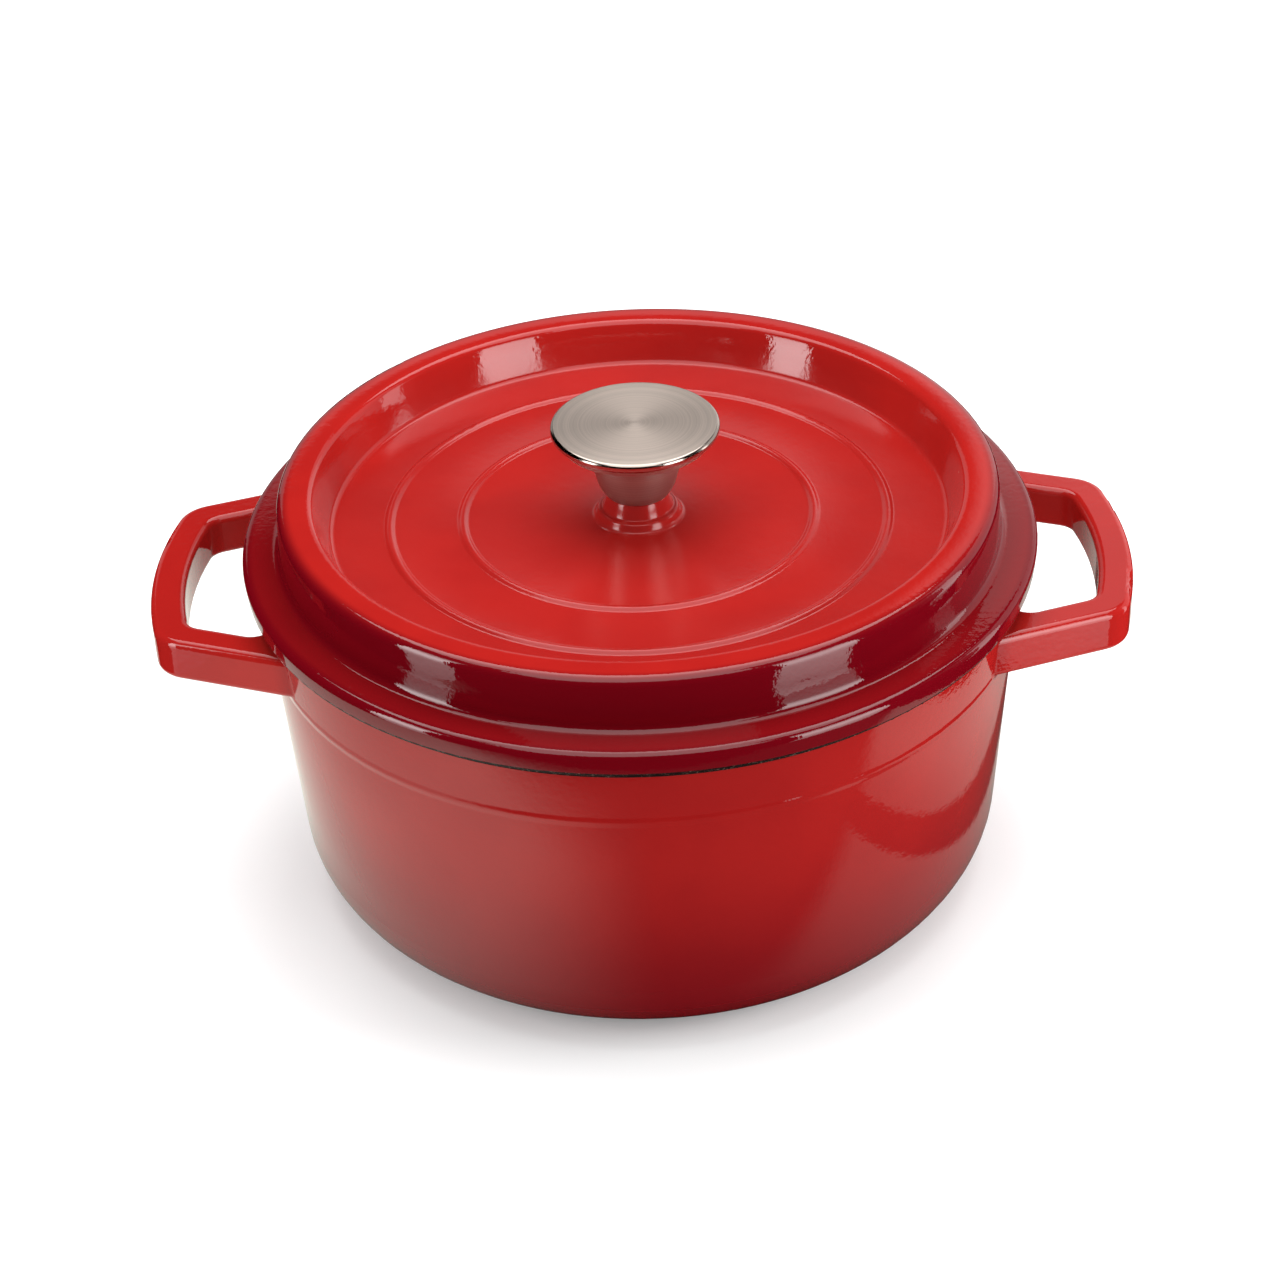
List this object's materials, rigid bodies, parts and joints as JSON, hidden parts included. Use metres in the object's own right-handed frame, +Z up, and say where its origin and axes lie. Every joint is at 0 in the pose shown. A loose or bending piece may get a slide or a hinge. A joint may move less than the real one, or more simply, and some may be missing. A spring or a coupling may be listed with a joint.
{
  "type": "cast iron dutch oven",
  "caption": "Round enamelled cast iron casserole with a loop handle cast on each side and a lift-off lid that has a high raised ring and a screwed steel mushroom knob.",
  "frame": {"origin": "centre of the foot ring's resting plane, on the pot's axis", "axes": "+Z up along the pot's axis, the two loop handles on -X and +X, -Y towards the cook"},
  "size_m": [0.3076, 0.2476, 0.1565],
  "materials": {
    "bare_iron": "ground iron on the foot ring",
    "pot_red_enamel": "gloss vitreous enamel",
    "pot_light_enamel": "gloss vitreous enamel",
    "pot_ground_coat": "matt black ground coat",
    "base_ground_coat": "matt black ground coat",
    "lid_iron": "as cast, covered by enamel",
    "lid_red_enamel": "gloss vitreous enamel",
    "lid_light_enamel": "gloss vitreous enamel",
    "lid_ground_coat": "matt black ground coat",
    "brushed_cap": "fine turned brushing with a polished edge",
    "turned_stem": "turned satin",
    "screw_steel": "bright",
    "spring_steel": "satin",
    "washer_steel": "satin"
  },
  "bodies": {
    "pot": {"pot_casting": "bare_iron", "pot_outer_enamel": "pot_red_enamel", "pot_inner_enamel": "pot_light_enamel", "pot_rim_enamel": "pot_ground_coat", "pot_base_enamel": "base_ground_coat"},
    "lid": {"lid_casting": "lid_iron", "lid_outer_enamel": "lid_red_enamel", "lid_inner_enamel": "lid_light_enamel", "lid_rim_enamel": "lid_ground_coat", "knob_cap": "brushed_cap", "knob_stem": "turned_stem", "lid_screw": "screw_steel", "lock_washer": "spring_steel", "flat_washer": "washer_steel"}
  },
  "joints": [
    {"name": "lid_lift", "type": "slide", "parent": "pot", "child": "lid", "axis": [0, 0, 1], "range_m": [0, 0.22]}
  ]
}
